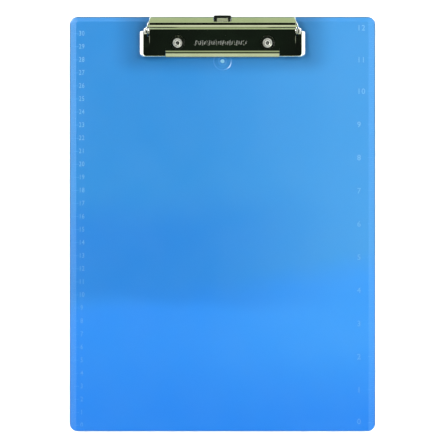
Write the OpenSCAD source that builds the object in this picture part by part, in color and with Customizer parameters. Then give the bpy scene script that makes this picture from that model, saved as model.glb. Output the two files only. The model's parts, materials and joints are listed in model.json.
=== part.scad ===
// Clipboard: a moulded plastic board with a low-profile spring clip and a pull-out hanging tab.
// Lies on its back. +Z is up, +Y points to the clip end, and the origin is on the
// underside, at the middle of the outline.

/* [Board] */
// Width of the board
board_w = 234; // [200:1:260]
// Length of the board
board_l = 317.5; // [250:0.5:360]
// Thickness of the board
board_t = 3; // [2.6:0.1:4]
// Radius of the board's corners
board_r = 6.2; // [3:0.1:12]
// Width of the bevel on the two ruler edges
bevel_w = 3.2; // [1:0.1:5]
// Depth of the bevel on the ruler edges
bevel_d = 0.7; // [0.2:0.1:1.2]

/* [Clip] */
// Full width of the clamp plate
clip_w = 126.6; // [122:0.1:140]
// Width of the front lip
lip_w = 86.9; // [60:0.1:100]
// Width of the thumb lever at its rear edge
lever_w = 111; // [100:0.1:112]
// Height of the face of the clamp plate above the table
face_z = 10; // [9.8:0.1:11]
// Sheet thickness of the clamp plate
sheet = 0.8; // [0.6:0.1:0.9]
// Distance of the clip's front edge from the board's top edge
clip_depth = 31; // [30.8:0.1:33]
// Distance between the two eyelets
eyelet_pitch = 68.8; // [60:0.1:76]
// Distance of the eyelets from the board's top edge
eyelet_s = 20.1; // [19.5:0.1:20.6]
// Radius of the access holes over the eyelets
access_r = 5.6; // [4.6:0.1:5.6]

/* [Hinge] */
// Distance of the hinge axis from the board's top edge
pivot_s = 11.4; // [11.3:0.1:11.6]
// Height of the hinge axis above the table
pivot_z = 6.5; // [6.4:0.1:6.6]
// Radius of the hinge rod
rod_r = 1.25; // [1.1:0.05:1.3]
// Radial clearance of the clamp plate on the rod
run_fit = 0.05; // [0.02:0.01:0.1]

/* [Springs] */
// Turns of each torsion spring
spring_turns = 9; // [6:1:11]
// Radius of the spring wire
wire_r = 0.5; // [0.4:0.05:0.5]
// Mean radius of the coils
coil_r = 1.95; // [1.85:0.05:1.95]

/* [Hanging tab] */
// Width of the hanging tab
tab_w = 13.2; // [11:0.1:14]
// How far the tab stands out past the board when pushed in
tab_out = 1; // [0.5:0.1:2]
// How far the tab pulls out
tab_travel = 12; // [6:0.5:12]
// Width of the hanging slot, which is 5 high
hang_w = 8; // [5.5:0.1:8.5]

/* [Hidden] */

// The outline runs from the board's front edge to the tab's end, and the origin is at its middle.
y_top = board_l / 2 - tab_out / 2; // the board's top edge
y_bot = y_top - board_l;
half = clip_w / 2;
base_t = 0.8; // sheet thickness of the base plate
base_z = board_t + base_t;
base_half = 57;
ear_t = 1;
tab_t = 0.8;
gap = 0.15;
strap_s = 5.2; // the strap over the hanging tab
strap_l = 3.6;

// Turns a side-view outline (s, z) into a solid from x0 to x1.
module side(x0, x1) {
    translate([x0, y_top, 0])
        rotate([90, 0, 90])
            linear_extrude(x1 - x0) mirror([1, 0]) children();
}

// A cylinder along X at (s, z).
module rod_at(s, z, r, x0, x1) {
    translate([x0, y_top - s, z]) rotate([0, 90, 0]) cylinder(r = r, h = x1 - x0, $fn = 64);
}

module round_plate(w, l, r, t) {
    linear_extrude(t) {
        square([w - 2 * r, l], center = true);
        square([w, l - 2 * r], center = true);
        for (x = [-1, 1], y = [-1, 1])
            translate([x * (w / 2 - r), y * (l / 2 - r)]) circle(r = r, $fn = 64);
    }
}

// The moulded panel: ruler edges bevelled from above, seats for the eyelets' tails
// in the underside, and the round moulding mark in front of the clip.
module board() {
    color([0.22, 0.58, 0.92])
    difference() {
        translate([0, (y_top + y_bot) / 2, 0]) round_plate(board_w, board_l, board_r, board_t);
        for (m = [0, 1]) mirror([m, 0, 0])
            translate([board_w / 2, y_top + 1, 0]) rotate([90, 0, 0])
                linear_extrude(board_l + 2)
                    polygon([[-bevel_w, board_t], [1, board_t - bevel_d * (bevel_w + 1) / bevel_w], [1, board_t + 1], [-bevel_w, board_t + 1]]);
        for (x = [-1, 1]) translate([x * eyelet_pitch / 2, y_top - eyelet_s, 0]) {
            translate([0, 0, -1]) cylinder(r = 2.22, h = board_t + 2, $fn = 64);
            translate([0, 0, -1]) cylinder(r = 5, h = 2.3, $fn = 64);
        }
        translate([0, y_top - 34.1, board_t - 0.35]) difference() {
            cylinder(r = 7.1, h = 1, $fn = 96);
            translate([0, 0, -0.1]) cylinder(r = 6.3, h = 2, $fn = 96);
        }
    }
}

// The fixed sheet on the board: two upturned ears carry the rod, and a raised strap
// over the middle guides the hanging tab.
module base_plate() {
    color([0.62, 0.64, 0.62])
    difference() {
        union() {
            translate([-base_half, y_top - 26.4, board_t]) cube([2 * base_half, 26.4 - 2.2, base_t]);
            for (m = [0, 1]) mirror([m, 0, 0]) {
                rod_at(pivot_s, 8, 2.6, base_half - ear_t, base_half);
                translate([base_half - ear_t, y_top - pivot_s - 2.6, board_t]) cube([ear_t, 5.2, 5]);
            }
            // strap: two risers and a bridge over the tab
            for (m = [0, 1]) mirror([m, 0, 0])
                translate([tab_w / 2 + gap, y_top - strap_s - strap_l, board_t])
                    cube([0.8, strap_l, base_t + tab_t + 2 * gap + 0.6]);
            translate([-tab_w / 2 - gap - 0.8, y_top - strap_s - strap_l, base_z + tab_t + 2 * gap])
                cube([tab_w + 2 * gap + 1.6, strap_l, 0.6]);
        }
        for (m = [0, 1]) mirror([m, 0, 0])
            rod_at(pivot_s, pivot_z, rod_r + 0.02, base_half - ear_t - 1, base_half + 1);
        for (x = [-1, 1]) translate([x * eyelet_pitch / 2, y_top - eyelet_s, board_t - 1])
            cylinder(r = 2.22, h = 3, $fn = 64);
    }
}

// One tubular eyelet: rolled head on the base plate, tube through the board,
// flared tail in the seat under the board.
module eyelet() {
    zt = base_z;
    zb = 1.3;
    rotate_extrude($fn = 96) polygon(concat(
        [[1.35, zb - 0.55], [2.35, zb - 0.8], [3.5, zb - 0.45], [3.55, zb], [2.2, zb], [2.2, zt]],
        [[3.35, zt]],
        [for (i = [0:6]) let (a = -50 + 20 * i) [3.2 + 0.45 * cos(a), zt + 0.45 + 0.45 * sin(a)]],
        [[2.3, zt + 0.72], [1.6, zt + 0.35], [1.35, zt - 0.2]]));
}

module rivets() {
    color([0.75, 0.76, 0.72])
        for (x = [-1, 1]) translate([x * eyelet_pitch / 2, y_top - eyelet_s, 0]) eyelet();
}

// The rod through the ears, with a domed head outside each ear.
module hinge_rod() {
    color([0.75, 0.76, 0.72]) {
        rod_at(pivot_s, pivot_z, rod_r, -base_half, base_half);
        for (m = [0, 1]) mirror([m, 0, 0])
            translate([base_half, y_top - pivot_s, pivot_z]) rotate([0, 90, 0])
                rotate_extrude($fn = 64)
                    polygon([[0, 0], [2.3, 0], [2.3, 0.7], [2.05, 1.2], [1.5, 1.6], [0.8, 1.8], [0, 1.8]]);
    }
}

// Torsion spring: a helix round the rod whose two legs both point to the rear. The
// lower leg bears on the base plate and the upper one under the thumb lever.
function coil_path(x0) = let (n = 20 * spring_turns + 10) concat(
    [[x0, 9.0, -2.16], [x0, 5.0, -2.05]],
    // from the bottom of the coil round the front, over the top, and on
    [for (i = [0:n]) let (a = -90 - 360 * i / 20) [x0 + i / 20 * 1.06, coil_r * cos(a), coil_r * sin(a)]],
    [for (q = [[1.6, 0], [3.0, 0.5], [4.6, 1.75], [6.4, 2.8]]) [x0 + n / 20 * 1.06, q[0], coil_r + q[1]]]);

function unit(v) = v / norm(v);
function cross3(a, b) = [a[1] * b[2] - a[2] * b[1], a[2] * b[0] - a[0] * b[2], a[0] * b[1] - a[1] * b[0]];

module wire(p, r) {
    sides = 8;
    n = len(p);
    tang = [for (i = [0:n - 1]) unit(p[min(i + 1, n - 1)] - p[max(i - 1, 0)])];
    pts = [for (i = [0:n - 1]) let (u = unit(cross3(tang[i], cross3([1, 0, 0], tang[i]))), v = cross3(tang[i], u))
        for (k = [0:sides - 1]) p[i] + r * (cos(360 * k / sides) * u + sin(360 * k / sides) * v)];
    polyhedron(
        points = pts,
        faces = concat(
            [[for (k = [0:sides - 1]) k]],
            [for (i = [0:n - 2], k = [0:sides - 1]) let (a = i * sides + k, b = i * sides + (k + 1) % sides)
                [a, a + sides, b + sides, b]],
            [[for (k = [sides - 1:-1:0]) (n - 1) * sides + k]]),
        convexity = 10);
}

module torsion_spring() {
    translate([0, y_top - pivot_s, pivot_z]) wire(coil_path(17), wire_r);
}

module spring_right() {
    color([0.45, 0.46, 0.45]) torsion_spring();
}

module spring_left() {
    color([0.45, 0.46, 0.45]) mirror([1, 0, 0]) torsion_spring();
}

// Side view of the clamp plate's upper surface as points (s, z), from the lever's rear
// edge over the step and the ridge to the front of the face.
function upper(f) = [[1.1, f + 6.0], [4.5, f + 3.05], [5.1, f + 2.65], [6.4, f + 2.45], [6.9, f + 2.15],
    [8.2, f + 0.95], [9.0, f + 0.35], [10.0, f], [25.6, f]];

// The same line, one sheet thickness lower: each point moves along the mean normal.
function normal(a, b) = let (d = b - a) [-d[1], d[0]] / norm(d);
function under(p, t) = [for (i = [0:len(p) - 1])
    let (n1 = normal(p[max(i - 1, 0)], p[max(i, 1)]),
         n2 = normal(p[min(i, len(p) - 2)], p[min(i + 1, len(p) - 1)]),
         n = (n1 + n2) / norm(n1 + n2))
    p[i] - t / (n * n1) * n];

module sheet_profile(front) {
    top = concat(upper(face_z), front);
    low = under(top, sheet);
    polygon(concat(top, [for (i = [len(low) - 1:-1:0]) low[i]]));
}

// Plan outline of the clamp plate.
module clamp_outline(h) {
    e = clip_depth;
    r = 3.6;
    translate([0, y_top, -1]) linear_extrude(h) {
        polygon([
            [-lever_w / 2, 1], [lever_w / 2, 1], [lever_w / 2 + 0.3, -1.4], [lever_w / 2 + 3.4, -8.5],
            [half - 0.5, -11.0], [half, -12.2], [half, -(e - r)], [half - r, -e],
            [-half + r, -e], [-half, -(e - r)], [-half, -12.2], [-half + 0.5, -11.0],
            [-lever_w / 2 - 3.4, -8.5], [-lever_w / 2 - 0.3, -1.4]]);
        for (x = [-1, 1]) translate([x * (half - r), -(e - r)]) circle(r = r, $fn = 48);
    }
}

// The moving sheet: thumb lever, stepped ridge, flat face with two access holes,
// sloped flanges, the front lip, and two hinge tabs under the face.
module clamp_plate() {
    e = clip_depth;
    t = sheet;
    f = face_z;
    flat = half - 2.6; // the face's edge, where the side flange starts
    color([0.80, 0.81, 0.78])
    difference() {
        union() {
            intersection() {
                union() {
                    // middle part, with the lip down to the paper
                    side(-lip_w / 2, lip_w / 2)
                        sheet_profile([[e - 4.5, f - 0.1], [e - 3.6, f - 0.5], [e - 2.7, f - 1.3], [e - 1.9, f - 2.6],
                            [e - 1.3, f - 4.2], [e - 0.9, board_t + 1.6], [e - 0.5, board_t + 1.15], [e, board_t + 1]]);
                    // outer parts, with a short front flange
                    for (m = [0, 1]) mirror([m, 0, 0])
                        side(lip_w / 2, flat)
                            sheet_profile([[e - 2.3, f], [e - 1.5, f - 0.25], [e - 0.8, f - 0.9], [e - 0.3, f - 2], [e, f - 3.6]]);
                    // side flanges
                    for (m = [0, 1]) mirror([m, 0, 0])
                        translate([0, y_top - 11.3, 0]) rotate([90, 0, 0])
                            linear_extrude(e - 11.3)
                                polygon([[flat - 0.01, f], [flat + 0.5, f - 0.15], [flat + 1.0, f - 0.7], [half - 0.1, f - 5.0], [half, f - 5.4],
                                    [half - 0.85, f - 5.4], [flat + 0.3, f - 1.1], [flat - 0.01, f - t]]);
                }
                clamp_outline(40);
            }
            // hinge tabs
            for (m = [0, 1]) mirror([m, 0, 0]) {
                rod_at(pivot_s, pivot_z, 2.4, 54.4, 55.5);
                translate([54.4, y_top - pivot_s - 2.4, pivot_z]) cube([1.1, 4.8, f - 0.4 - pivot_z]);
            }
        }
        // hinge bores
        for (m = [0, 1]) mirror([m, 0, 0]) rod_at(pivot_s, pivot_z, rod_r + run_fit, 53, 56.5);
        // windows for the ears and the rod's heads
        for (m = [0, 1]) mirror([m, 0, 0])
            translate([55.7, y_top - 15.5, f - 3]) cube([4.1, 15.5 - 8.4, 6]);
        // access holes over the eyelets
        for (x = [-1, 1]) translate([x * eyelet_pitch / 2, y_top - eyelet_s, f - 3]) cylinder(r = access_r, h = 6, $fn = 96);
        // notch in the lever over the hanging tab
        translate([-6.9, y_top - 4.4, f - 2]) cube([13.8, 6, 12]);
    }
}

// Sliding tab: a flat blade with a raised finger catch at its outer end, a hanging
// slot behind it, and shoulders that meet the strap when it is pulled out.
module hanger_tab() {
    z0 = base_z + gap;
    y0 = y_top + tab_out;
    inner = strap_s + strap_l + tab_travel;
    color([0.66, 0.67, 0.64])
    difference() {
        union() {
            translate([-tab_w / 2, y_top - inner - 2.4, z0]) cube([tab_w, inner + 2.4 + tab_out - 1.4, tab_t]);
            translate([-tab_w / 2 + 1.4, y0 - 1.4, z0]) cube([tab_w - 2.8, 1.4, tab_t]);
            for (x = [-1, 1]) translate([x * (tab_w / 2 - 1.4), y0 - 1.4, z0]) cylinder(r = 1.4, h = tab_t, $fn = 48);
            // shoulders
            translate([-tab_w / 2 - 1.2, y_top - inner - 2.4, z0]) cube([tab_w + 2.4, 2.2, tab_t]);
            // finger catch: a ramp that rises to the rear
            side(-4.1, 4.1) polygon([[3.7, z0 + 0.3], [3.7, z0 + tab_t], [1.6, z0 + tab_t + 1.25], [1.35, z0 + tab_t + 1.15], [1.25, z0 + 0.3]]);
        }
        // hanging slot
        translate([-hang_w / 2 + 2.5, y_top - 8.4 - 2.5, z0 - 1]) cube([hang_w - 5, 5, 3]);
        for (x = [-1, 1]) translate([x * (hang_w / 2 - 2.5), y_top - 8.4, z0 - 1]) cylinder(r = 2.5, h = 3, $fn = 48);
    }
}

board();
base_plate();
rivets();
hinge_rod();
spring_left();
spring_right();
clamp_plate();
hanger_tab();
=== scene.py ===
import bpy, bmesh, math, json
from mathutils import Vector, Matrix


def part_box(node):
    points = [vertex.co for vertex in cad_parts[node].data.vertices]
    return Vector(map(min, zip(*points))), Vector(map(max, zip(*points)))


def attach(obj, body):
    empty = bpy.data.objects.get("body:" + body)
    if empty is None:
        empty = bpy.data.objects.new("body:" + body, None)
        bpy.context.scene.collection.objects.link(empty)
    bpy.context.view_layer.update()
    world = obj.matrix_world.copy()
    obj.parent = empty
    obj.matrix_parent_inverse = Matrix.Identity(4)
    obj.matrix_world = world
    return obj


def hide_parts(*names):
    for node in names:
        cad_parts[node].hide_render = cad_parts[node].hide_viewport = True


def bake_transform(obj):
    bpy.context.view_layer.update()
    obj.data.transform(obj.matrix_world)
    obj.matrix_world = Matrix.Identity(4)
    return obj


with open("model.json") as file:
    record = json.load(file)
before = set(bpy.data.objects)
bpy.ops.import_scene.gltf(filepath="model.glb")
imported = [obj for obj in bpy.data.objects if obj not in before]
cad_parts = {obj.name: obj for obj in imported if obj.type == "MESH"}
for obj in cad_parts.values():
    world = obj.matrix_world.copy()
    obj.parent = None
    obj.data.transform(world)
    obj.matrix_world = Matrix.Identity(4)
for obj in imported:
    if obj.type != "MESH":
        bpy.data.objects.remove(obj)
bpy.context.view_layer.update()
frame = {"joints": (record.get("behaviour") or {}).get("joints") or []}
scene = bpy.context.scene
MM = 0.001

# ---------------------------------------------------------------- where things are (mm)
b_lo, b_hi = [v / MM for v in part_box("board")]
HW = b_hi.x                       # half width of the board
YT, YB = b_hi.y, b_lo.y           # clip end and front end of the board
BT = 3.0                          # board thickness
joint = [j for j in frame["joints"] if j["name"] == "clamp_hinge"][0]
PS = YT - joint["pos_m"][1] / MM  # hinge axis: distance from the clip end
PZ = joint["pos_m"][2] / MM
FZ = 10.0                         # height of the clamp's face
SHEET = 0.8
RIVX, RIVS = 34.4, 20.1


def P(x, s, z):
    """A point given as x, distance s forward of the board's clip end, and height, all in mm."""
    return Vector((x * MM, (YT - s) * MM, z * MM))


# ---------------------------------------------------------------- mesh helpers
def make(name, verts, faces):
    me = bpy.data.meshes.new(name)
    me.from_pydata([tuple(v) for v in verts], [], faces)
    me.validate()
    o = bpy.data.objects.new(name, me)
    scene.collection.objects.link(o)
    return o


def tidy(o, merge=1e-7):
    bm = bmesh.new()
    bm.from_mesh(o.data)
    bmesh.ops.remove_doubles(bm, verts=bm.verts, dist=merge)
    bmesh.ops.recalc_face_normals(bm, faces=bm.faces)
    bm.to_mesh(o.data)
    bm.free()
    return o


def bake(o):
    """Applies all modifiers."""
    bpy.context.view_layer.update()
    dg = bpy.context.evaluated_depsgraph_get()
    me = bpy.data.meshes.new_from_object(o.evaluated_get(dg))
    old = o.data
    o.modifiers.clear()
    o.data = me
    me.name = old.name
    bpy.data.meshes.remove(old)
    return o


def cut(o, tool, op="DIFFERENCE"):
    m = o.modifiers.new("bool", "BOOLEAN")
    m.operation = op
    m.object = tool
    m.solver = "MANIFOLD"
    n = len(o.data.polygons)
    bake(o)
    if len(o.data.polygons) == 0:
        print("BOOLEAN EMPTY", o.name, tool.name, n)
    bpy.data.objects.remove(tool)
    return o


def bevel(o, width, segs=2, angle=40):
    m = o.modifiers.new("bevel", "BEVEL")
    m.width = width * MM
    m.segments = segs
    m.limit_method = "ANGLE"
    m.angle_limit = math.radians(angle)
    m.use_clamp_overlap = True
    m.harden_normals = False
    return bake(o)


def smooth(o, angle=32):
    """Smooth shading with sharp edges above the angle."""
    bm = bmesh.new()
    bm.from_mesh(o.data)
    lim = math.radians(angle)
    for e in bm.edges:
        e.smooth = len(e.link_faces) == 2 and e.calc_face_angle(0.0) < lim
    for f in bm.faces:
        f.smooth = True
    bm.to_mesh(o.data)
    bm.free()
    return o


def flat_true(o):
    """Keeps broad flats optically flat beside their small rounded edges."""
    m = o.modifiers.new("normals", "WEIGHTED_NORMAL")
    m.keep_sharp = True
    m.weight = 90
    return o


def prism(name, outline, z0, z1):
    """A closed prism from a plan outline [(x, y) in mm] between two heights."""
    n = len(outline)
    v = [Vector((x * MM, y * MM, z0 * MM)) for x, y in outline] + [Vector((x * MM, y * MM, z1 * MM)) for x, y in outline]
    f = [list(range(n))[::-1], list(range(n, 2 * n))] + [[i, (i + 1) % n, n + (i + 1) % n, n + i] for i in range(n)]
    return tidy(make(name, v, f))


def prism_x(name, outline, x0, x1):
    """A closed prism along X from a side outline [(s, z)]."""
    n = len(outline)
    v = [P(x0, s, z) for s, z in outline] + [P(x1, s, z) for s, z in outline]
    f = [list(range(n)), list(range(n, 2 * n))[::-1]] + [[i, n + i, n + (i + 1) % n, (i + 1) % n] for i in range(n)]
    return tidy(make(name, v, f))


def rounded(x0, x1, y0, y1, r, n=8):
    pts = []
    for cx, cy, a0 in ((x1 - r, y1 - r, 0), (x0 + r, y1 - r, 90), (x0 + r, y0 + r, 180), (x1 - r, y0 + r, 270)):
        for i in range(n + 1):
            a = math.radians(a0 + 90 * i / n)
            pts.append((cx + r * math.cos(a), cy + r * math.sin(a)))
    return pts


def disc(cx, cy, r, n=96):
    return [(cx + r * math.cos(2 * math.pi * i / n), cy + r * math.sin(2 * math.pi * i / n)) for i in range(n)]


def revolve(name, prof, centre, n=96, axis="Z"):
    """A closed ring from a closed profile [(r, h)]; points with r = 0 join on the axis."""
    v, f = [], []
    m = len(prof)
    for i in range(n):
        a = 2 * math.pi * i / n
        for r, h in prof:
            if axis == "Z":
                v.append(Vector(centre) + Vector((r * math.cos(a), r * math.sin(a), h)) * MM)
            else:
                v.append(Vector(centre) + Vector((h, r * math.cos(a), r * math.sin(a))) * MM)
    for i in range(n):
        for k in range(m):
            a, b = i * m + k, i * m + (k + 1) % m
            c, d = ((i + 1) % n) * m + (k + 1) % m, ((i + 1) % n) * m + k
            f.append([a, b, c, d])
    o = make(name, v, f)
    bm = bmesh.new()
    bm.from_mesh(o.data)
    bmesh.ops.remove_doubles(bm, verts=bm.verts, dist=1e-7)
    bmesh.ops.dissolve_degenerate(bm, edges=bm.edges, dist=1e-8)
    bmesh.ops.recalc_face_normals(bm, faces=bm.faces)
    bm.to_mesh(o.data)
    bm.free()
    return o


def fillet(pts, radii, step=6):
    """A path of (a, b) corner points with each inner corner rounded by its radius."""
    out = [Vector(pts[0])]
    for i in range(1, len(pts) - 1):
        p, a, b = Vector(pts[i]), Vector(pts[i - 1]), Vector(pts[i + 1])
        u, w = (a - p).normalized(), (b - p).normalized()
        ang = math.acos(max(-1, min(1, u.dot(w))))
        turn = math.pi - ang
        if turn < 0.02 or radii[i] <= 0:
            out.append(p)
            continue
        d = radii[i] / math.tan(ang / 2)
        d = min(d, 0.49 * (a - p).length, 0.49 * (b - p).length)
        r = d * math.tan(ang / 2)
        c = p + (u + w).normalized() * (r / math.sin(ang / 2))
        n = max(2, int(math.degrees(turn) / step + 0.5))
        s0, s1 = p + u * d - c, p + w * d - c
        a0 = math.atan2(s0.y, s0.x)
        da = math.atan2(s1.y, s1.x) - a0
        while da > math.pi: da -= 2 * math.pi
        while da < -math.pi: da += 2 * math.pi
        for k in range(n + 1):
            out.append(c + r * Vector((math.cos(a0 + da * k / n), math.sin(a0 + da * k / n))))
    out.append(Vector(pts[-1]))
    return [(v.x, v.y) for v in out]


# ---------------------------------------------------------------- materials
def mat(name):
    m = bpy.data.materials.new(name)
    m.use_nodes = True
    nt = m.node_tree
    return m, nt, nt.nodes["Principled BSDF"]


def node(nt, kind, **kw):
    n = nt.nodes.new(kind)
    for k, v in kw.items():
        setattr(n, k, v)
    return n


def mathn(nt, op, a, b=None, c=None, clamp=False):
    n = node(nt, "ShaderNodeMath", operation=op, use_clamp=clamp)
    for i, v in enumerate((a, b, c)):
        if v is None:
            continue
        if isinstance(v, (int, float)):
            n.inputs[i].default_value = v
        else:
            nt.links.new(v, n.inputs[i])
    return n.outputs[0]


def ramp(nt, val, lo, hi, to0=0.0, to1=1.0):
    n = node(nt, "ShaderNodeMapRange", interpolation_type="SMOOTHSTEP")
    nt.links.new(val, n.inputs["Value"])
    n.inputs["From Min"].default_value = lo
    n.inputs["From Max"].default_value = hi
    n.inputs["To Min"].default_value = to0
    n.inputs["To Max"].default_value = to1
    return n.outputs["Result"]


def mix(nt, fac, a, b, blend="MIX"):
    n = node(nt, "ShaderNodeMix", data_type="RGBA", blend_type=blend)
    if isinstance(fac, (int, float)):
        n.inputs[0].default_value = fac
    else:
        nt.links.new(fac, n.inputs[0])
    for i, v in ((6, a), (7, b)):
        if isinstance(v, tuple):
            n.inputs[i].default_value = (*v, 1)
        else:
            nt.links.new(v, n.inputs[i])
    return n.outputs[2]


def lin(r, g, b, k=1.0):
    def f(c):
        c /= 255
        return (c / 12.92 if c <= 0.04045 else ((c + 0.055) / 1.055) ** 2.4) * k
    return (f(r), f(g), f(b))


def coords(nt):
    tc = node(nt, "ShaderNodeTexCoord")
    sep = node(nt, "ShaderNodeSeparateXYZ")
    nt.links.new(tc.outputs["Object"], sep.inputs[0])
    return tc.outputs["Object"], sep.outputs[0], sep.outputs[1], sep.outputs[2]


def noise(nt, vec, scale, detail=3, rough=0.5):
    n = node(nt, "ShaderNodeTexNoise")
    nt.links.new(vec, n.inputs["Vector"])
    n.inputs["Scale"].default_value = scale
    n.inputs["Detail"].default_value = detail
    n.inputs["Roughness"].default_value = rough
    return n.outputs["Fac"]


def bump(nt, bsdf, height, strength, dist=0.001):
    n = node(nt, "ShaderNodeBump")
    n.inputs["Strength"].default_value = strength
    n.inputs["Distance"].default_value = dist
    nt.links.new(height, n.inputs["Height"])
    nt.links.new(n.outputs[0], bsdf.inputs["Normal"])


KB = 0.48   # board albedo against the colour wanted in the render


def plastic(name, lift=0.0, rough=0.3, tone=(150, 210, 255), low_lift=0.5):
    """Translucent blue moulded plastic. Its colour is painted greyer and lighter towards the clip end and the inch
    edge, and deeper towards the front, with a soft slanting change between: painted reflection and shade on the board."""
    m, nt, b = mat(name)
    o, x, y, z = coords(nt)
    u = mathn(nt, "MULTIPLY_ADD", x, 1 / (2 * HW * MM), 0.5)
    v = mathn(nt, "MULTIPLY_ADD", y, 1 / ((YT - YB) * MM), -YB / (YT - YB))
    wob = mathn(nt, "MULTIPLY_ADD", noise(nt, o, 9, 2), 0.10, -0.05)
    v2 = mathn(nt, "ADD", v, wob)
    # painted reflection and shade: a greyer, lighter colour towards the clip end, a deeper one lower down and at the
    # front end
    side = ramp(nt, u, 0.28, 1.04)
    top = mix(nt, side, lin(48, 139, 214, KB), lin(72, 157, 226, KB))
    low = mix(nt, ramp(nt, u, 0.2, 1.0), lin(45, 139, 237, KB), lin(60, 153, 241, KB))
    end = mix(nt, side, lin(37, 130, 232, KB), lin(39, 132, 235, KB))
    # painted reflection: soft slanting change at about a third of the length
    q = mathn(nt, "MULTIPLY_ADD", u, -0.10, v2)
    c = mix(nt, ramp(nt, q, 0.265, 0.355), low, top)
    c = mix(nt, ramp(nt, v, 0.0, 0.26), end, c)
    # painted shade: a darker band across the middle of the length, fading out towards the inch edge
    painted_shade_band = mathn(nt, "MULTIPLY", ramp(nt, v2, 0.29, 0.34), ramp(nt, v2, 0.61, 0.46))
    painted_shade_band = mathn(nt, "MULTIPLY", painted_shade_band, ramp(nt, u, 1.05, 0.2))
    c = mix(nt, mathn(nt, "MULTIPLY", painted_shade_band, 0.75), c, lin(38, 127, 216, KB))
    # faint flow marks of the moulding
    mot = noise(nt, o, 16, 5, 0.6)
    c = mix(nt, ramp(nt, mot, 0.30, 0.80, 0.0, 0.06), c, lin(76, 162, 236, KB))
    # lit and shaded copies: the lift mixes in another tone, stronger towards the clip end; the lighter tones are
    # painted highlight, the greyer edge tone is painted shade
    if lift:
        up = ramp(nt, v, 0.1, 0.95, lift * low_lift, lift)
        c = mix(nt, up, c, lin(*tone, KB))
    # painted shadow: the plastic is darkened close to the clip, where the clip's shade falls on it
    clip_shadow_dx = mathn(nt, "MAXIMUM", mathn(nt, "SUBTRACT", mathn(nt, "ABSOLUTE", x), 63.5 * MM), 0.0)
    clip_shadow_dy = mathn(nt, "MAXIMUM", mathn(nt, "MULTIPLY_ADD", y, -1.5, 1.5 * (YT - 31) * MM), 0.0)
    d = mathn(nt, "SQRT", mathn(nt, "MULTIPLY_ADD", clip_shadow_dx, clip_shadow_dx, mathn(nt, "MULTIPLY", clip_shadow_dy, clip_shadow_dy)))
    c = mix(nt, ramp(nt, d, 0.0, 0.024, 0.31, 0.0), c, (0.0, 0.001, 0.004))
    nt.links.new(c, b.inputs["Base Color"])
    r = ramp(nt, noise(nt, o, 40, 3), 0.3, 0.7, rough - 0.02, rough + 0.03)
    nt.links.new(r, b.inputs["Roughness"])
    b.inputs["IOR"].default_value = 1.49
    b.inputs["Specular IOR Level"].default_value = 0.5
    b.inputs["Subsurface Weight"].default_value = 0.12
    b.inputs["Subsurface Radius"].default_value = (0.2, 0.6, 1.0)
    b.inputs["Subsurface Scale"].default_value = 0.002
    b.inputs["Coat Weight"].default_value = 0.15
    b.inputs["Coat Roughness"].default_value = 0.12
    bump(nt, b, noise(nt, o, 900, 2), 0.02, 0.0001)
    return m


def plated(name, col, rough, wave=0.05, tint=(0.70, 0.74, 0.62)):
    """Bright nickel plate: slightly wavy from pressing, with faint handling marks."""
    m, nt, b = mat(name)
    o, x, y, z = coords(nt)
    n1 = noise(nt, o, 55, 3)
    c = mix(nt, ramp(nt, n1, 0.35, 0.8, 0.0, 0.35), col, tint)
    nt.links.new(c, b.inputs["Base Color"])
    b.inputs["Metallic"].default_value = 1.0
    n2 = noise(nt, o, 420, 4, 0.65)
    r = mathn(nt, "MULTIPLY_ADD", ramp(nt, n1, 0.3, 0.75), rough * 0.5, mathn(nt, "MULTIPLY_ADD", n2, rough * 0.5, rough * 0.6))
    nt.links.new(r, b.inputs["Roughness"])
    h = mathn(nt, "MULTIPLY_ADD", n2, 0.03, noise(nt, o, 30, 1))
    bump(nt, b, h, wave, 0.001)
    return m


M_BOARD = plastic("board_plastic_blue")
# copies of the same plastic: painted highlight on raised lines, numbers, rim slopes and the mark's nub, painted shade
# on the outermost edge
M_TICK_HIGHLIGHT = plastic("board_plastic_tick", lift=0.50, rough=0.45, tone=(96, 180, 255))
M_RELIEF_HIGHLIGHT = plastic("board_plastic_relief", lift=0.58, rough=0.45, tone=(140, 206, 255))
M_RIM_HIGHLIGHT = plastic("board_plastic_rim", lift=0.30, rough=0.35, tone=(78, 172, 255))
M_EDGE_SHADE = plastic("board_plastic_edge", lift=0.80, rough=0.30, tone=(66, 118, 150), low_lift=0.6)
M_NUB_HIGHLIGHT = plastic("board_plastic_nub", lift=0.85, rough=0.40, tone=(150, 218, 255))
M_CLAMP = plated("nickel_plate_clamp", (0.90, 0.91, 0.85), 0.07, 0.10)
M_BASE = plated("nickel_plate_base", (0.78, 0.79, 0.74), 0.16, 0.12)
M_EYE = plated("nickel_plate_eyelet", (0.88, 0.89, 0.83), 0.16, 0.06)
M_EYE.node_tree.nodes["Principled BSDF"].inputs["Metallic"].default_value = 0.52
# painted shade: a near-black plate for the eyelet's bore and the fine groove between its rings, hollows that lie in
# shade
M_BORE_SHADE = plated("painted_shade_bore", (0.014, 0.014, 0.013), 0.5, 0.05, (0.010, 0.010, 0.010))
# painted reflection: a rougher, partly diffuse olive copy of the plate, so the catch comes out as light as the
# reflection on it
M_CATCH_SHEEN = plated("catch_painted_sheen", (0.27, 0.30, 0.19), 0.45, 0.1, (0.20, 0.23, 0.14))
M_CATCH_SHEEN.node_tree.nodes["Principled BSDF"].inputs["Metallic"].default_value = 0.35
M_WIRE = plated("oiled_spring_steel", (0.36, 0.37, 0.37), 0.28, 0.10, (0.24, 0.24, 0.25))


def give(o, *mats):
    o.data.materials.clear()
    for m in mats:
        o.data.materials.append(m)
    return o


# ---------------------------------------------------------------- board
RIM_L, RIM_R, RIM_T, RIM_B = 5.0, 5.3, 3.7, 0.7
RIM_D = 0.55                       # how far the rim slopes down


def surf(d, w):
    """Height of the top surface at a distance d from an edge whose rim is w wide."""
    t = min(1.0, max(0.0, d / w))
    return BT - RIM_D * (1 - t)


def ring(l, r, t, b, rad, z, n=14):
    return [Vector((x * MM, y * MM, z * MM)) for x, y in rounded(-HW + l, HW - r, YB + b, YT - t, rad, n)]


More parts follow.
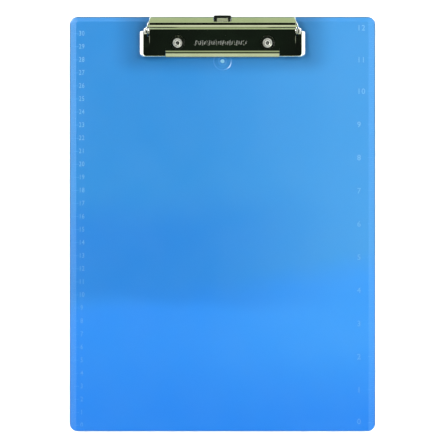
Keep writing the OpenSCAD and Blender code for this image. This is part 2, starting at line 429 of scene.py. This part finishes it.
def board():
    rings = [
        ring(0.45, 0.45, 0.45, 0.45, 5.75, 0.0),
        ring(0.13, 0.13, 0.13, 0.13, 6.07, 0.13),
        ring(0, 0, 0, 0, 6.2, 0.45),
        ring(0, 0, 0, 0, 6.2, BT - RIM_D - 0.42),
        ring(0.09, 0.09, 0.09, 0.09, 6.1, BT - RIM_D - 0.26),
        ring(0.34, 0.34, 0.34, 0.34, 5.85, BT - RIM_D - 0.08),
        ring(0.72, 0.72, 0.72, 0.50, 5.5, BT - RIM_D + 0.02),
        ring(RIM_L - 0.35, RIM_R - 0.35, RIM_T - 0.35, 0.62, 2.6, BT - 0.045),
        ring(RIM_L, RIM_R, RIM_T, 0.85, 2.3, BT),
    ]
    n = len(rings[0])
    v = [p for r in rings for p in r]
    f = [list(range(n))[::-1], list(range((len(rings) - 1) * n, len(rings) * n))]
    for k in range(len(rings) - 1):
        for i in range(n):
            a, b = k * n + i, k * n + (i + 1) % n
            f.append([a, b, b + n, a + n])
    o = tidy(make("board_panel", v, f))
    # seats and holes for the eyelets
    for sx in (-1, 1):
        c = (sx * RIVX, YT - RIVS)
        seat = revolve("seat", [(0, -1), (5.15, -1), (5.15, 0.0), (5.0, 0.15), (5.0, 1.2), (4.9, 1.3), (0, 1.3)], (c[0] * MM, c[1] * MM, 0))
        cut(o, seat)
        cut(o, prism("hole", disc(*c, 2.22), -1, 4))
    # round moulding mark in front of the clip: dished floor, inner ring and a centre nub
    cx, cs = 0.0, 34.05
    dish = revolve("dish", [(0, 0.30), (0, -0.02), (0.45, -0.04), (1.35, -0.32), (1.55, -0.34), (2.60, -0.34), (2.85, -0.28), (3.15, -0.28),
                            (3.40, -0.34), (6.25, -0.34), (6.45, -0.30), (7.00, -0.02), (7.15, 0.02), (7.35, 0.03), (7.35, 0.30)],
                   P(cx, cs, BT))
    cut(o, dish)
    # ruler lines and numbers, raised 0.13 mm
    H = 0.13
    parts = []

    def tick(edge, y, d0, d1, half, w):
        """A raised line at height y, from d0 to d1 in from the left (-1) or right (1) edge."""
        ds = [d0] + ([w] if d0 < w < d1 else []) + [d1]
        lo = [(d, 1.4) for d in (ds[0], ds[-1])]
        pts = lo + [(d, surf(d, w) + (H if 0 < i < len(ds) else H)) for i, d in reversed(list(enumerate(ds)))]
        vs, n = [], len(pts)
        for yy in (y - half, y + half):
            for d, z in pts:
                vs.append(Vector((edge * (HW - d) * MM, yy * MM, z * MM)))
        fs = [list(range(n)), list(range(n, 2 * n))[::-1]] + [[i, n + i, n + (i + 1) % n, (i + 1) % n] for i in range(n)]
        parts.append((vs, fs))

    Z0 = YT - 313.0
    for i in range(0, 308):
        y = Z0 + i
        if not YB + 4.0 < y < YT - 5.5:
            continue
        if i % 10 == 0:
            tick(-1, y, 0.9, 6.9, 0.22, RIM_L)
        elif i % 5 == 0:
            tick(-1, y, 0.9, 4.9, 0.17, RIM_L)
        else:
            tick(-1, y, 0.9, 3.4, 0.14, RIM_L)
    I0 = YT - 310.9
    for i in range(0, 16 * 12 + 1):
        y = I0 + i * 25.4 / 16
        if not YB + 4.0 < y < YT - 5.5:
            continue
        L = 5.9 if i % 16 == 0 else 4.9 if i % 8 == 0 else 4.0 if i % 4 == 0 else 3.3 if i % 2 == 0 else 2.6
        tick(1, y, 0.9, L, 0.22 if i % 16 == 0 else 0.17, RIM_R)
    vs, fs = [], []
    for a, b in parts:
        k = len(vs)
        vs += a
        fs += [[i + k for i in f] for f in b]
    t = tidy(make("ticks", vs, fs), merge=1e-8)
    cut(o, t, "UNION")

    def label(text, x, y, size, sx=1.0, align="CENTER"):
        cu = bpy.data.curves.new("num", "FONT")
        cu.body = text
        cu.size = size * MM
        cu.extrude = 0.3 * MM
        cu.align_x = align
        cu.align_y = "CENTER"
        cu.resolution_u = 3
        cu.space_character = 1.12
        cu.offset = 0.00005
        ob = bpy.data.objects.new("num", cu)
        scene.collection.objects.link(ob)
        ob.location = (x * MM, y * MM, (BT + H - 0.3) * MM)
        ob.scale = (sx, 1, 1)
        bpy.context.view_layer.update()
        me = bpy.data.meshes.new_from_object(ob.evaluated_get(bpy.context.evaluated_depsgraph_get()))
        me.transform(ob.matrix_world)
        bpy.data.objects.remove(ob)
        return me

    bm = bmesh.new()
    for i in range(0, 31):
        bm.from_mesh(label(str(i), -HW + 9.2, Z0 + 10 * i + (0.4 if i == 0 else 0.13), 5.2, 0.80))
    for i in range(0, 13):
        y = I0 + i * 25.4
        bm.from_mesh(label(str(i), HW - 14.0, y + {0: 0.8, 11: -1.6, 12: -2.6}.get(i, -0.37), 6.0, 1.0, "LEFT"))
    bmesh.ops.remove_doubles(bm, verts=bm.verts, dist=1e-6)
    bmesh.ops.recalc_face_normals(bm, faces=bm.faces)
    bad = [e for e in bm.edges if len(e.link_faces) != 2]
    print("label edges that aren't closed:", len(bad))
    me = bpy.data.meshes.new("labels")
    bm.to_mesh(me)
    bm.free()
    lab = bpy.data.objects.new("labels", me)
    scene.collection.objects.link(lab)
    cut(o, lab, "UNION")
    # which faces are relief, rim or plain; relief, rim, nub and edge faces get the copies of the plastic with painted
    # highlight and painted shade
    give(o, M_BOARD, M_RELIEF_HIGHLIGHT, M_RIM_HIGHLIGHT, M_EDGE_SHADE, M_NUB_HIGHLIGHT, M_TICK_HIGHLIGHT)
    for p in o.data.polygons:
        c = p.center / MM
        up = p.normal.z > 0.5
        dl, dr = c.x + HW, HW - c.x
        w, d = (RIM_L, dl) if dl < dr else (RIM_R, dr)
        base = surf(d, w)
        rr = math.hypot(c.x - cx, (YT - c.y) - cs)
        k = 0
        if rr < 7.4 and c.z > 2:
            k = 4 if rr < 1.5 else 2 if (2.5 < rr < 3.4 or rr > 6.3) else 0
        elif up and c.z > base + 0.06 and (d < 15) and 4 < c.y - YB < (YT - YB) - 4:
            k = 1 if d > (6.95 if dl < dr else 6.0) else 5
        elif 0.5 < c.z and (d < w or YT - c.y < RIM_T) and p.normal.z > -0.5:
            k = 2
        if min(d, YT - c.y, c.y - YB) < 0.55 and c.z > 0.2:
            k = 3
        p.material_index = k
    smooth(o, 28)
    flat_true(o)
    return o


# ---------------------------------------------------------------- clamp plate
def clamp():
    K = 15
    xf, sf = 60.35, 29.95

    def resample(path, n):
        """n points at even steps of arc length, ends kept."""
        L = [0]
        for a, b in zip(path, path[1:]):
            L.append(L[-1] + math.dist(a, b))
        out = []
        for i in range(n):
            t = L[-1] * i / (n - 1)
            k = max(j for j in range(len(L)) if L[j] <= t + 1e-9)
            k = min(k, len(path) - 2)
            f = (t - L[k]) / (L[k + 1] - L[k])
            out.append((path[k][0] + f * (path[k + 1][0] - path[k][0]), path[k][1] + f * (path[k + 1][1] - path[k][1])))
        return out

    # flange sections (outward, down): sides slope at about 45 degrees, the front turns down at once
    side = fillet([(0, 0), (0.16, 0), (2.84, -2.72), (2.94, -5.35)], [0, 0.45, 0.3, 0], 5)
    front = fillet([(0, 0), (0.34, 0), (0.60, -0.26), (0.88, -0.58), (1.05, -1.1), (1.05, -3.6)], [0, 0.12, 0.2, 0.3, 0.4, 0], 5)
    N = 26
    side, front = resample(side, N), resample(front, N)

    def soft(a, b, t):
        t = min(1, max(0, (t - a) / (b - a)))
        return t * t * (3 - 2 * t)

    def wing(s):
        """The corners beyond the flat middle fold down towards the sides beside the lever."""
        return 0.45 * max(0, outer(s) - 55.3) * (1 - soft(9.6, 11.4, s))

    def shelf(x, s):
        """The shelf on the ridge lies flatter near its ends."""
        g = [(7.3, 0), (8.12, 0.05), (8.95, -0.03), (9.6, 0)]
        for (a, p), (b, q) in zip(g, g[1:]):
            if a <= s <= b:
                return (p + (q - p) * (s - a) / (b - a)) * (1 - soft(33, 43, abs(x)))
        return 0

    # the path over lever, step and ridge to the face
    rear = fillet([(0.62, 16.44), (5.0, 12.32), (6.85, 12.16), (8.12, 11.04), (8.95, 10.94), (9.88, 10.0), (10.8, 10.0)],
                  [0, 0.45, 0.4, 0.3, 0.3, 0.5, 0], 5)
    lip = fillet([(25.3, 10.0), (26.3, 10.0), (27.35, 9.73), (28.45, 9.27), (30.75, 7.22), (30.8, 3.95), (31.0, 3.93)],
                 [0, 0.7, 0.5, 0.8, 0.35, 0.15, 0], 4)

    def step(s):
        """The margins lie a little below the panel, fading out at both ends."""
        return 0.12 * soft(13, 16, s) * (1 - soft(20.2, 23.7, s))

    def outer(s):
        """Where the flat ends and the flange starts, behind the straight side."""
        pts = [(0.6, 54.6), (8.5, 57.7), (9.2, 58.1), (9.6, 59.6), (11.0, 59.9), (11.6, 60.2), (12.4, xf)]
        for (a, p), (b, q) in zip(pts, pts[1:]):
            if s <= b:
                return p + (q - p) * max(0, s - a) / (b - a)
        return xf

    # boundary of the flat on the +X side, from the lever's corner to the front near the lip
    B = []      # (x, s, z, nx, ns, scale, w)
    for s, z in rear[:-1]:
        q = 0.24 + 0.76 * soft(10.9, 11.7, s)
        B.append((outer(s), s, z - wing(s), 1, 0, q, 0))
    flats = (11.0, 11.3, 11.6, 11.9, 12.4, 13.2, 14, 15, 16, 18, 20, 22, 24, 26, 27.4)
    nflat = len(flats)
    for s in flats:
        q = 0.24 + 0.76 * soft(10.9, 11.7, s)
        B.append((outer(s), s, 10 - step(s) - wing(s), 1, 0, q, 0))
    rc = 1.9
    for i in range(0, 13):
        a = math.radians(90 * i / 12)
        B.append((xf - rc + rc * math.cos(a), sf - rc + rc * math.sin(a), 10, math.cos(a), math.sin(a), 1, (i / 12) ** 1.3))
    for x in (56, 52, 48, 43.65):
        B.append((x, sf, 10, 0, 1, 1, 1))
    nr = len(rear) - 1   # rows before the flat

    # panel boundary, same count from the first flat row on
    def panel(i):
        x, s, z, nx, ns, q, w = B[i]
        if i < nr:
            return None
        if i < nr + nflat:
            return (55.3, min(s, 23.85), 1, 0)
        j = i - nr - nflat
        if j < 13:
            a = math.radians(90 * j / 12)
            return (55.3 - 0.9 + 0.9 * math.cos(a), 24.75 - 0.9 + 0.9 * math.sin(a), math.cos(a), math.sin(a))
        return (min(x, 54.4), 24.75, 0, 1)

    V, F = [], []

    def vert(x, s, z):
        V.append(P(x, s, z))
        return len(V) - 1

    cols_in = [50, 43, 40, 36, 33, 20, 0]
    loops = {}
    for sg in (1, -1):
        # flange rings
        ringv = []
        for (x, s, z, nx, ns, q, w) in B:
            col = []
            for k in range(N):
                d = side[k][0] * (1 - w) + front[k][0] * w
                h = side[k][1] * (1 - w) + front[k][1] * w
                col.append(vert(sg * (x + nx * d * q), s + ns * d * q, z + h * (q if q > 0.5 else q)))
            ringv.append(col)
        for a, b in zip(ringv, ringv[1:]):
            for k in range(N - 1):
                F.append([a[k], a[k + 1], b[k + 1], b[k]])
        # embossed step, panel edge to margin
        prof = [(0, 0), (0.15, 0.06), (0.35, 0.28), (0.55, 0.72), (0.75, 0.94), (0.9, 1.0)]
        steps = []
        for i in range(nr, len(B)):
            px, ps, nx, ns = panel(i)
            hs = 10 - B[i][2]
            steps.append([vert(sg * (px + nx * d), ps + ns * d, 10 - hs * e) for d, e in prof])
        for a, b in zip(steps, steps[1:]):
            for k in range(len(prof) - 1):
                F.append([a[k], a[k + 1], b[k + 1], b[k]])
        for i in range(nr, len(B) - 1):
            F.append([steps[i - nr][-1], ringv[i][0], ringv[i + 1][0], steps[i - nr + 1][-1]])
        loops[sg] = (ringv, steps)

    # rear rows across the middle
    rows = []
    for j in range(nr + 1):
        s, z = (B[j][1], B[j][2] + wing(B[j][1]))
        R = loops[1][0][j][0]
        L = loops[-1][0][j][0]
        mid = [55.3] + cols_in
        xs = mid + [-c for c in cols_in[:-1][::-1]] + [-55.3]
        if j == nr:
            # first flat row: panel corners are shared with the step's first column
            row = [R, loops[1][1][0][-1], *loops[1][1][0][:-1][::-1]] + [vert(x, s, z) for x in xs[1:-1]] + \
                  [*loops[-1][1][0][:-1], loops[-1][1][0][-1], L]
            rows.append(("flat", row))
        else:
            w = B[j][0]
            row = [R] + [vert(x * min(1, (w - 0.15) / 55.3), s, z + shelf(x, s)) for x in xs] + [L]
            rows.append(("rear", row))
    for (ka, a), (kb, b) in zip(rows, rows[1:]):
        if kb == "rear":
            for k in range(len(a) - 1):
                F.append([a[k], a[k + 1], b[k + 1], b[k]])
        else:
            # join the last rear row to the flat row: ends take the step's points
            np_ = len(prof)
            F.append([a[0], a[1]] + b[1:np_ + 1][::-1] + [b[0]])
            m = b[np_:-np_]
            for k in range(1, len(a) - 2):
                F.append([a[k], a[k + 1], m[k], m[k - 1]])
            F.append([a[-2], a[-1], b[-1]] + b[-np_ - 1:-1][::-1])
    # panel: one flat polygon
    flat = rows[-1][1]
    npf = len(prof)
    top = flat[npf:-npf]
    right = [c[0] for c in loops[1][1]][1:]
    left = [c[0] for c in loops[-1][1]][1:]
    lipx = [43.45, 30, 15, 0, -15, -30, -43.45]
    lip0 = [vert(x, 24.75, 10) for x in lipx]
    F.append(top + left + lip0[::-1] + right[::-1])
    # lip, from the panel's front edge
    prev = lip0
    for s, z in lip:
        cur = [vert(x, s, z) for x in lipx]
        for k in range(len(cur) - 1):
            F.append([prev[k], prev[k + 1], cur[k + 1], cur[k]])
        prev = cur
    o = make("clamp_sheet", V, F)
    bm = bmesh.new()
    bm.from_mesh(o.data)
    bmesh.ops.remove_doubles(bm, verts=bm.verts, dist=1e-6)
    bmesh.ops.dissolve_degenerate(bm, edges=bm.edges, dist=1e-7)
    bmesh.ops.recalc_face_normals(bm, faces=bm.faces)
    big = max(bm.faces, key=lambda f: f.calc_area())
    if big.normal.z < 0:
        bmesh.ops.reverse_faces(bm, faces=bm.faces)
    bm.normal_update()
    # second skin one sheet thickness inside, and the edges between
    vs = list(bm.verts)
    nrm = {v: v.normal.copy() for v in vs}
    low = {}
    for v in vs:
        fs = v.link_faces
        ns = [f.normal for f in fs]
        m = sum(ns, Vector()) / len(ns)
        n = nrm[v]
        k = min(max(min(n.dot(q) for q in ns), 0.75), 1)
        low[v] = bm.verts.new(v.co - n * (SHEET * MM / (1 if k > 0.999 else k ** 0.5)))
    faces = list(bm.faces)
    edges = [e for e in bm.edges if len(e.link_faces) == 1]
    bad = [e for e in bm.edges if len(e.link_faces) > 2]
    print("clamp skin: faces", len(faces), "border edges", len(edges), "bad", len(bad))
    for f in faces:
        bm.faces.new([low[v] for v in reversed(f.verts)])
    for e in edges:
        l = e.link_loops[0]
        a, b = l.vert, l.link_loop_next.vert
        bm.faces.new([b, a, low[a], low[b]])
    bmesh.ops.recalc_face_normals(bm, faces=bm.faces)
    bm.to_mesh(o.data)
    bad = sum(1 for e in bm.edges if len(e.link_faces) != 2)
    bm.free()
    print("clamp solid open edges:", bad)
    # hinge tabs under the face
    for sg in (1, -1):
        prof = [(PS - 2.4, 9.6)] + [(PS - 2.4 * math.cos(math.radians(a)), PZ - 2.4 * math.sin(math.radians(a))) for a in range(0, 181, 10)] + [(PS + 2.4, 9.6)]
        x0, x1 = (54.4, 55.5) if sg > 0 else (-55.5, -54.4)
        cut(o, prism_x("tab", prof, x0, x1), "UNION")
        bore = [(PS + 1.3 * math.cos(math.radians(a)), PZ + 1.3 * math.sin(math.radians(a))) for a in range(0, 360, 6)]
        cut(o, prism_x("bore", bore, x0 - 0.5, x1 + 0.5))
    # windows for the ears, access holes, notch over the hanging tab
    for sg in (1, -1):
        x0, x1 = (55.7, 57.7) if sg > 0 else (-57.7, -55.7)
        cut(o, prism("win", rounded(x0, x1, YT - 15.5, YT - 8.4, 0.9), 7.5, 14))
        cut(o, prism("acc", disc(sg * RIVX, YT - RIVS, 5.6), 8, 12))
        # stiffening bead beside the window
        vs = [P(sg * 58.75 + a * hw, 11.5 + b * hl, z) for z, hw, hl in ((9.0, 0.95, 2.35), (9.75, 0.95, 2.35), (10.45, 0.28, 1.75)) for a, b in ((-1, 1), (1, 1), (1, -1), (-1, -1))]
        fs = [[3, 2, 1, 0], [8, 9, 10, 11]] + [[j + k, (j + 1) % 4 + k, 4 + (j + 1) % 4 + k, 4 + j + k] for k in (0, 4) for j in range(4)]
        cut(o, tidy(make("bead", vs, fs), merge=1e-8), "UNION")
    cut(o, prism("square_end", [(-70, YT - 1.12), (70, YT - 1.12), (70, YT + 5), (-70, YT + 5)], 0, 30))
    cut(o, prism("notch", rounded(-6.9, 6.9, YT - 4.4, YT + 4, 0.7), 9, 20))
    # a stamped row of plain oblique strokes, raised 0.14 mm
    for odd in (0, 1):
        vs, fs = [], []
        for i in range(odd, 23, 2):
            x, hh, sl = -20.4 + 1.74 * i, (1.85, 1.15, 1.45)[i % 3], (0.55, -0.3, 0.35, 0.0)[i % 4]
            k = len(vs)
            for z, hw, h in ((9.93, 0.39, hh + 0.16), (10.07, 0.24, hh)):
                for a, b in ((-hw - sl, -h), (hw - sl, -h), (hw + sl, h), (-hw + sl, h)):
                    vs.append(P(x + a, 20.3 - b, z))
            fs += [[k, k + 1, k + 2, k + 3], [k + 7, k + 6, k + 5, k + 4]]
            fs += [[k + j, k + 4 + j, k + 4 + (j + 1) % 4, k + (j + 1) % 4] for j in range(4)]
        cut(o, tidy(make("strokes", vs, fs), merge=1e-8), "UNION")
    o = bevel(o, 0.09, 2, 50)
    o.name = "clamp_sheet"
    smooth(o, 30)
    flat_true(o)
    return give(o, M_CLAMP)


# ---------------------------------------------------------------- base plate, eyelets, rod, springs, tab
def base():
    out = rounded(-57, 57, YT - 26.4, YT - 2.2, 1.2, 6)
    o = prism("base_sheet", out, BT, BT + 0.8)
    for sg in (1, -1):
        x0, x1 = (56, 57) if sg > 0 else (-57, -56)
        ear = [(PS - 2.6, BT + 0.4)] + [(PS - 2.6 * math.cos(math.radians(a)), 8 + 2.6 * math.sin(math.radians(a))) for a in range(0, 181, 7)] + [(PS + 2.6, 8), (PS + 2.6, BT + 0.4)]
        e = prism_x("ear", ear[::-1], x0, x1)
        bevel(e, 0.36, 3, 60)
        cut(o, e, "UNION")
        bore = [(PS + 1.27 * math.cos(math.radians(a)), PZ + 1.27 * math.sin(math.radians(a))) for a in range(0, 360, 6)]
        cut(o, prism_x("bore", bore, x0 - 0.5, x1 + 0.5))
        cut(o, prism("hole", disc(sg * RIVX, YT - RIVS, 2.22), 2, 5))
    tw = 6.75
    strap = fillet([(-tw - 1.4, 3.4), (-tw - 0.4, 3.4), (-tw - 0.4, 5.5), (tw + 0.4, 5.5), (tw + 0.4, 3.4), (tw + 1.4, 3.4)], [0, 0, 0.7, 0.7, 0, 0], 8)
    top = [(-tw - 0.8, 3.2)] + fillet([(-tw - 0.8, 3.2), (-tw - 0.8, 5.5), (tw + 0.8, 5.5), (tw + 0.8, 3.2)], [0, 0.8, 0.8, 0], 8)[1:]
    n = len(top)
    v = [Vector((x * MM, (YT - s) * MM, z * MM)) for s in (5.2, 8.8) for x, z in top]
    f = [list(range(n)), list(range(n, 2 * n))[::-1]] + [[i, n + i, n + (i + 1) % n, (i + 1) % n] for i in range(n)]
    cut(o, tidy(make("strap", v, f)), "UNION")
    cut(o, prism("tunnel", [(-tw, YT - 9.5), (tw, YT - 9.5), (tw, YT - 4.5), (-tw, YT - 4.5)], BT + 0.8, 4.9))
    o = bevel(o, 0.12, 2, 50)
    smooth(o, 30)
    flat_true(o)
    return give(o, M_BASE)


def eyelet(i, x):
    prof = [(0.45, 1.9), (1.30, 1.6), (1.30, 0.85), (1.42, 0.66), (1.75, 0.52), (2.3, 0.46), (2.9, 0.52), (3.3, 0.72), (3.5, 1.0), (3.53, 1.22), (3.45, 1.3), (2.2, 1.3), (2.2, 3.8),
            (3.50, 3.8), (3.63, 3.86), (3.66, 3.96), (3.60, 4.08), (3.05, 4.60), (2.93, 4.68), (2.80, 4.70), (2.70, 4.66), (2.62, 4.56), (2.50, 3.9),
            (2.30, 4.20), (2.18, 4.24), (2.02, 4.18), (1.50, 3.66), (1.36, 3.50), (1.30, 3.3), (1.30, 2.6), (0.45, 2.3)]
    o = revolve("eyelet_%s" % i, prof, P(x, RIVS, 0), 96)
    smooth(o, 40)
    give(o, M_EYE, M_BORE_SHADE)
    c = P(x, RIVS, 0)
    # painted shade: the bore and the groove between the rings take the near-black copy
    for f in o.data.polygons:
        d = math.hypot(f.center.x - c.x, f.center.y - c.y) / MM
        if d < 1.35 or (2.33 < d < 2.58 and f.center.z / MM > 3.85):
            f.material_index = 1
    return o


def rod():
    prof = []
    for sg in (1, -1):
        side = [(1.25, 56.99), (2.15, 57.0), (2.32, 57.08), (2.32, 57.22), (2.2, 57.4), (1.05, 58.52), (0.7, 58.72), (0.35, 58.79), (0, 58.8)]
        prof.append([(r, sg * h) for r, h in side])
    p = [(0, -58.8)] + prof[1][:-1][::-1] + prof[0]
    o = revolve("rod_with_heads", p, P(0, PS, PZ), 64, "X")
    smooth(o, 35)
    return give(o, M_EYE)


def spring(name, sg):
    turns, pitch, r, wr = 9, 1.06, 1.95, 0.5
    n = 48 * turns + 24
    x0 = 17.0
    path = [Vector((x0, 9.0, -2.16)), Vector((x0, 7.0, -2.14)), Vector((x0, 5.0, -2.08)), Vector((x0, 3.2, -2.0)), Vector((x0, 1.6, -1.955))]
    for i in range(n + 1):
        a = -math.pi / 2 - 2 * math.pi * i / 48
        path.append(Vector((x0 + i / 48 * pitch, r * math.cos(a), r * math.sin(a))))
    xe = x0 + n / 48 * pitch
    for s, z in fillet([(0.0, 0.0), (2.4, 0.05), (4.9, 2.0), (6.4, 2.8)], [0, 2.2, 1.2, 0], 6)[1:]:
        path.append(Vector((xe, s, r + z)))
    sides = 16
    V, F = [], []
    m = len(path)
    for i, p in enumerate(path):
        t = (path[min(i + 1, m - 1)] - path[max(i - 1, 0)]).normalized()
        u = t.cross(Vector((1, 0, 0)).cross(t)).normalized()
        w = t.cross(u)
        for k in range(sides):
            a = 2 * math.pi * k / sides
            q = p + wr * (math.cos(a) * u + math.sin(a) * w)
            V.append(Vector((sg * q.x * MM, (YT - PS + q.y) * MM, (PZ + q.z) * MM)))
    for i in range(m - 1):
        for k in range(sides):
            a, b = i * sides + k, i * sides + (k + 1) % sides
            F.append([a, a + sides, b + sides, b])
    F.append(list(range(sides)))
    F.append(list(range((m - 1) * sides, m * sides))[::-1])
    o = tidy(make(name, V, F))
    smooth(o, 50)
    give(o, M_WIRE)
    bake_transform(o)
    return o


def tab():
    z0 = 3.95
    o = prism("tab_blade", rounded(-6.6, 6.6, YT - 23.2, YT + 1.0, 0.7, 8), z0, z0 + 0.8)
    cut(o, prism("shoulder", rounded(-7.8, 7.8, YT - 23.2, YT - 21.0, 0.5, 5), z0, z0 + 0.8), "UNION")
    cut(o, prism("slot", rounded(-4, 4, YT - 10.9, YT - 5.9, 2.499, 16), z0 - 1, z0 + 2))
    zt = z0 + 0.8
    ramp_ = fillet([(4.0, zt - 0.3), (4.0, zt), (3.75, zt), (2.05, zt + 1.3), (1.35, zt + 1.28), (1.25, zt - 0.3)], [0, 0, 0.4, 0.3, 0.2, 0], 8)
    cut(o, prism_x("catch", ramp_, -4.1, 4.1), "UNION")
    # hollow under the catch, open to the rear
    cut(o, prism_x("hollow", [(2.3, z0 + 0.25), (2.3, z0 + 0.9), (1.0, z0 + 1.45), (1.0, z0 + 0.25)], -3.5, 3.5))
    o = bevel(o, 0.10, 2, 45)
    smooth(o, 30)
    flat_true(o)
    give(o, M_BASE, M_CATCH_SHEEN)
    # painted reflection: the catch's raised top faces take the olive copy of the plate
    for f in o.data.polygons:
        if f.center.z / MM > zt + 0.12:
            f.material_index = 1
    return o


pieces = {}
pieces["board"] = board()
pieces["clamp"] = clamp()
pieces["base"] = base()
eyes = [eyelet("left", -RIVX), eyelet("right", RIVX)]
pieces["rod"] = rod()
sl, sr = spring("spring_left_wire", -1), spring("spring_right_wire", 1)
pieces["tab"] = tab()

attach(pieces["board"], "board_unit"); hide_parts("board")
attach(pieces["base"], "board_unit"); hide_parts("base_plate")
for e in eyes:
    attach(e, "board_unit"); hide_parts("rivets")
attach(pieces["rod"], "board_unit"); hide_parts("hinge_rod")
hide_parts("spring_left")
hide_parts("spring_right")
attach(pieces["clamp"], "clamp"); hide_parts("clamp_plate")
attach(pieces["tab"], "hanger"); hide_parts("hanger_tab")

# ---------------------------------------------------------------- floor, light, camera
floor = make("floor", [(-3, -3, -0.0002), (3, -3, -0.0002), (3, 3, -0.0002), (-3, 3, -0.0002)], [[0, 1, 2, 3]])
m, nt, b = mat("pale_floor")
o_, x_, y_, z_ = coords(nt)
c = mix(nt, noise(nt, o_, 3, 2), (0.90, 0.90, 0.895), (0.93, 0.93, 0.925))
nt.links.new(c, b.inputs["Base Color"])
b.inputs["Roughness"].default_value = 0.9
b.inputs["Specular IOR Level"].default_value = 0.2
give(floor, m)

world = bpy.data.worlds.new("studio")
scene.world = world
world.use_nodes = True
nt = world.node_tree
bg = nt.nodes["Background"]
tc = node(nt, "ShaderNodeTexCoord")
sep = node(nt, "ShaderNodeSeparateXYZ")
nt.links.new(tc.outputs["Generated"], sep.inputs[0])


def sky(stops):
    """Colour by height of the direction: stops are (elevation in degrees, colour)."""
    r = node(nt, "ShaderNodeValToRGB")
    r.color_ramp.interpolation = "LINEAR"
    el = r.color_ramp.elements
    while len(el) > 1:
        el.remove(el[0])
    first = True
    for deg, col in stops:
        p = deg / 90
        e = el[0] if first else el.new(p)
        e.position = p
        e.color = (*col, 1)
        first = False
    a = mathn(nt, "ARCSINE", sep.outputs[2], clamp=False)
    nt.links.new(mathn(nt, "MULTIPLY", a, 2 / math.pi, clamp=True), r.inputs[0])
    return r.outputs[0]


DK = (0.0022, 0.0038, 0.0028)
frontsky = sky([(0, (0.56, 0.70, 0.72)), (2.4, (0.36, 0.46, 0.23)), (5, (0.36, 0.46, 0.22)), (11, (0.66, 0.71, 0.48)), (30, (0.80, 0.84, 0.58)), (37, (0.06, 0.065, 0.04)), (50, (0.010, 0.012, 0.006)),
                (56, (0.36, 0.42, 0.24)), (66, (0.34, 0.40, 0.22)), (73, (0.012, 0.014, 0.009)), (90, DK)])
sidesky = sky([(0, (1.35, 1.38, 1.36)), (22, (1.2, 1.25, 1.2)), (32, (0.05, 0.06, 0.05)), (52, (0.012, 0.014, 0.01)),
               (58, (0.40, 0.44, 0.34)), (66, (0.36, 0.40, 0.30)), (73, (0.012, 0.014, 0.010)), (90, DK)])
backsky = sky([(0, (0.05, 0.06, 0.09)), (30, (0.03, 0.035, 0.05)), (50, (0.012, 0.014, 0.012)), (73, (0.010, 0.012, 0.010)), (90, DK)])
ax = mathn(nt, "ABSOLUTE", sep.outputs[0])
ay = mathn(nt, "ABSOLUTE", sep.outputs[1])
fac = ramp(nt, mathn(nt, "SUBTRACT", ax, ay), -0.25, 0.15)
rear = ramp(nt, mathn(nt, "MULTIPLY_ADD", ax, -0.75, sep.outputs[1]), -0.10, 0.20)
c = mix(nt, fac, frontsky, sidesky)
c = mix(nt, rear, c, backsky)
# uneven dark ceiling
wn = noise(nt, tc.outputs["Generated"], 34, 2)
zen = mathn(nt, "MULTIPLY", ramp(nt, sep.outputs[2], 0.985, 0.998), ramp(nt, wn, 0.46, 0.72))
c = mix(nt, zen, c, (0.013, 0.023, 0.013))
nt.links.new(c, bg.inputs["Color"])
bg.inputs["Strength"].default_value = 1.0


def area(name, loc, size, power, col=(1, 1, 1), gloss=False):
    l = bpy.data.lights.new(name, "AREA")
    l.shape = "RECTANGLE"
    l.size, l.size_y = size
    l.energy = power
    l.color = col
    o = bpy.data.objects.new(name, l)
    scene.collection.objects.link(o)
    o.location = loc
    d = Vector((0, 0, 0)) - Vector(loc)
    o.rotation_euler = d.to_track_quat("-Z", "Y").to_euler()
    o.visible_glossy = gloss
    return o


area("key", (-1.4, 0.5, 2.0), (1.7, 1.7), 80, (1.0, 0.99, 0.97))
area("fill", (1.5, 0.4, 1.9), (1.6, 1.6), 75, (0.98, 0.99, 1.0))
area("low", (0.2, -1.9, 1.8), (1.8, 1.4), 50)
spark = area("glint", (-1.6, 1.3, 1.7), (0.6, 0.6), 150, gloss=True)
spark.visible_diffuse = False

cam = bpy.data.cameras.new("camera")
cam.lens = 314.6
cam.sensor_width = 36
cam.clip_end = 20
co = bpy.data.objects.new("camera", cam)
scene.collection.objects.link(co)
co.location = (0.00115, -0.00042, 3.0)
co.rotation_euler = (0, 0, 0)
scene.camera = co
scene.view_settings.view_transform = "Standard"
scene.view_settings.look = "None"
